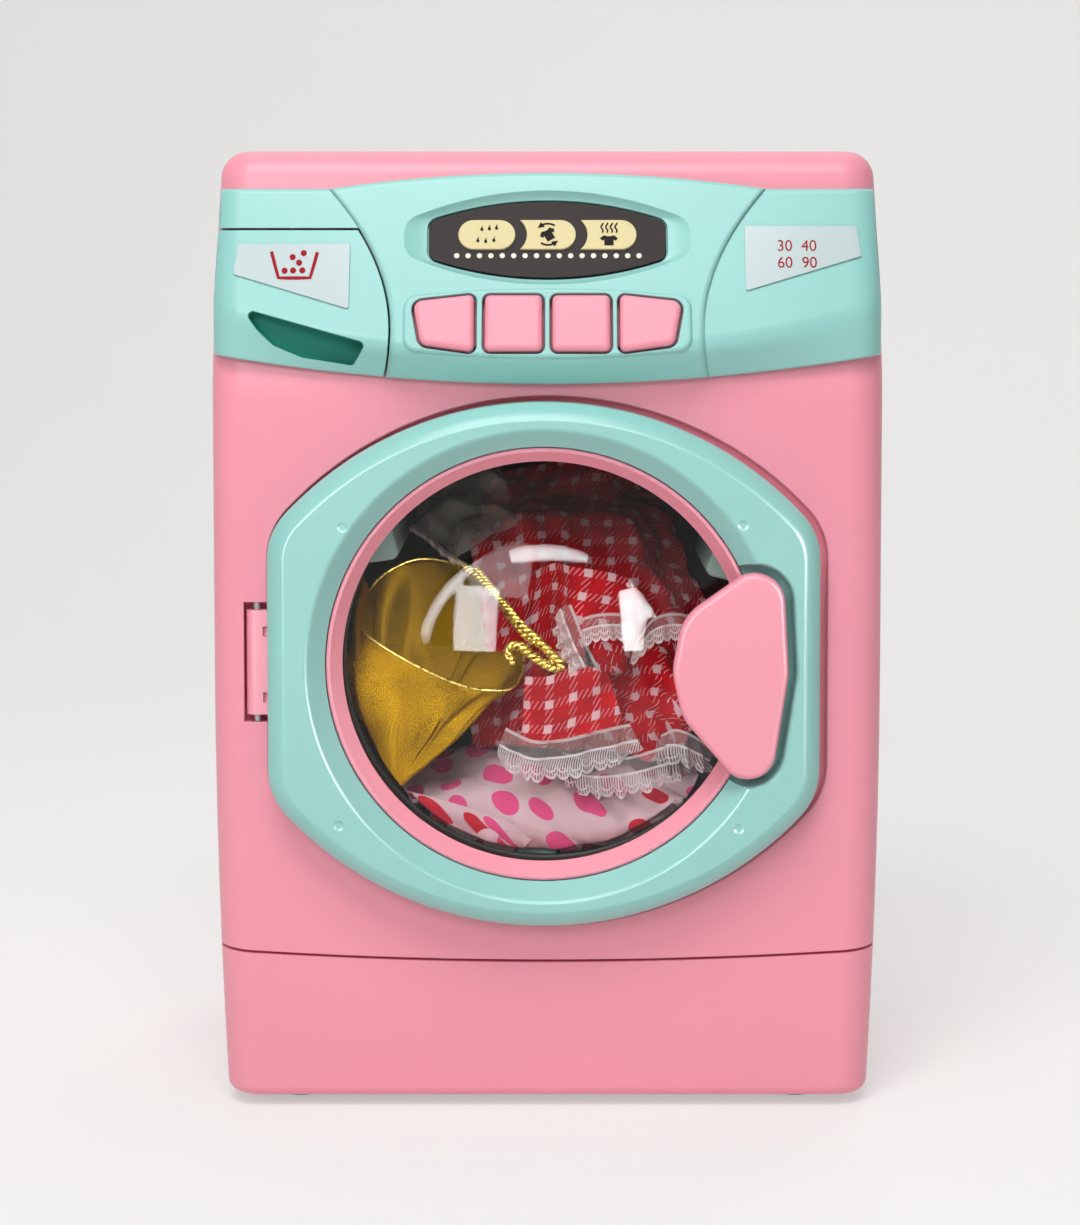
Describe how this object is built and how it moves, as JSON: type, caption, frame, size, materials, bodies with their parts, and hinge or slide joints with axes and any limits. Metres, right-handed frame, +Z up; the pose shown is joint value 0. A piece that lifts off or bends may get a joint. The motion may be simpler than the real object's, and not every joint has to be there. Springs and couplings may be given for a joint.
{
  "type": "toy washing machine",
  "caption": "Front-loading toy washing machine with a hinged window door, a turning drum with doll's clothes, a sliding detergent drawer and push buttons.",
  "frame": {"origin": "centre of the bounding box at the surface that the feet stand on", "axes": "+Z up, the door and the control panel face -Y, +X to the right seen from the front"},
  "size_m": [0.19, 0.153, 0.272],
  "materials": {
    "pink_plastic": "semi-gloss moulded",
    "mint_plastic": "semi-gloss moulded",
    "deep_mint_plastic": "semi-gloss moulded",
    "clear_plastic": "clear polished",
    "smoked_plastic": "polished",
    "cream_plastic": "translucent",
    "label_film": "satin printed film",
    "dark_drum_plastic": "satin moulded",
    "pale_mint_plastic": "satin moulded",
    "white_plastic": "moulded",
    "dark_plastic": "moulded",
    "circuit_board": "lacquered",
    "foot_rubber": "matt",
    "steel": "plain",
    "bronze": "sintered",
    "cell_jacket": "film",
    "gold_organza": "sheer sparkling weave",
    "red_gingham": "plain weave",
    "dotted_cotton": "plain weave"
  },
  "bodies": {
    "case": {"front_shell": "pink_plastic", "rear_shell": "pink_plastic", "base": "pink_plastic", "foot_front_left": "foot_rubber", "foot_front_right": "foot_rubber", "foot_rear_left": "foot_rubber", "foot_rear_right": "foot_rubber", "case_screw_1": "steel", "case_screw_2": "steel", "case_screw_3": "steel", "case_screw_4": "steel", "control_panel": "mint_plastic", "display_plate": "smoked_plastic", "display_lens_1": "cream_plastic", "display_lens_2": "cream_plastic", "display_lens_3": "cream_plastic", "key_mat": "foot_rubber", "control_board": "circuit_board", "drawer_housing": "deep_mint_plastic", "panel_label": "label_film", "hinge_pin": "steel", "tub": "white_plastic", "axle_bush": "bronze", "gear_plate": "white_plastic", "motor": "steel", "battery_box": "white_plastic", "battery_1": "cell_jacket", "battery_2": "cell_jacket", "battery_3": "cell_jacket", "battery_cover": "pink_plastic", "cover_screw": "steel", "speaker": "dark_plastic"},
    "door": {"door_ring": "mint_plastic", "door_frame": "pink_plastic", "door_window": "clear_plastic", "door_handle": "pink_plastic", "door_screw_1": "steel", "door_screw_2": "steel", "door_screw_3": "steel", "door_screw_4": "steel"},
    "drawer": {"drawer_front": "mint_plastic", "drawer_tray": "deep_mint_plastic", "drawer_label": "label_film"},
    "drum": {"drum": "dark_drum_plastic", "drum_vane_1": "pale_mint_plastic", "drum_vane_2": "pale_mint_plastic", "drum_vane_3": "pale_mint_plastic", "drum_axle": "steel", "drum_gear": "white_plastic", "laundry_cloth": "dotted_cotton", "laundry_cone": "gold_organza", "laundry_dress": "red_gingham"},
    "gear_1": {"compound_gear_1": "white_plastic"},
    "gear_2": {"compound_gear_2": "white_plastic"},
    "pinion": {"motor_pinion": "bronze"},
    "button_1": {"button_1": "pink_plastic"},
    "button_2": {"button_2": "pink_plastic"},
    "button_3": {"button_3": "pink_plastic"},
    "button_4": {"button_4": "pink_plastic"},
    "switch": {"switch_knob": "dark_plastic"}
  },
  "joints": [
    {"name": "door_hinge", "type": "hinge", "parent": "case", "child": "door", "pos_m": [-0.082, -0.0609, 0.1277], "axis": [0, 0, -1], "range_deg": [0, 100]},
    {"name": "drawer_slide", "type": "slide", "parent": "case", "child": "drawer", "axis": [0, -1, 0], "range_m": [0, 0.035]},
    {"name": "drum_spin", "type": "hinge", "parent": "case", "child": "drum", "pos_m": [0, 0, 0.1277], "axis": [0, 1, 0], "continuous": true},
    {"name": "gear_1_spin", "type": "hinge", "parent": "case", "child": "gear_1", "pos_m": [0.01607, 0, 0.14685], "axis": [0, 1, 0], "continuous": true},
    {"name": "gear_2_spin", "type": "hinge", "parent": "case", "child": "gear_2", "pos_m": [0.00607, 0, 0.16417], "axis": [0, 1, 0], "continuous": true},
    {"name": "pinion_spin", "type": "hinge", "parent": "case", "child": "pinion", "pos_m": [-0.01325, 0, 0.15899], "axis": [0, 1, 0], "continuous": true},
    {"name": "button_1_press", "type": "slide", "parent": "case", "child": "button_1", "axis": [0, 0.9336, -0.3584], "range_m": [0, 0.0015], "stiffness_N_per_m": 300},
    {"name": "button_2_press", "type": "slide", "parent": "case", "child": "button_2", "axis": [0, 0.9336, -0.3584], "range_m": [0, 0.0015], "stiffness_N_per_m": 300},
    {"name": "button_3_press", "type": "slide", "parent": "case", "child": "button_3", "axis": [0, 0.9336, -0.3584], "range_m": [0, 0.0015], "stiffness_N_per_m": 300},
    {"name": "button_4_press", "type": "slide", "parent": "case", "child": "button_4", "axis": [0, 0.9336, -0.3584], "range_m": [0, 0.0015], "stiffness_N_per_m": 300},
    {"name": "switch_slide", "type": "slide", "parent": "case", "child": "switch", "axis": [1, 0, 0], "range_m": [0, 0.005]}
  ],
  "couplings": [
    {"joint": "gear_1_spin", "follows": "drum_spin", "ratio": -4},
    {"joint": "gear_2_spin", "follows": "drum_spin", "ratio": 12},
    {"joint": "pinion_spin", "follows": "drum_spin", "ratio": -36}
  ]
}
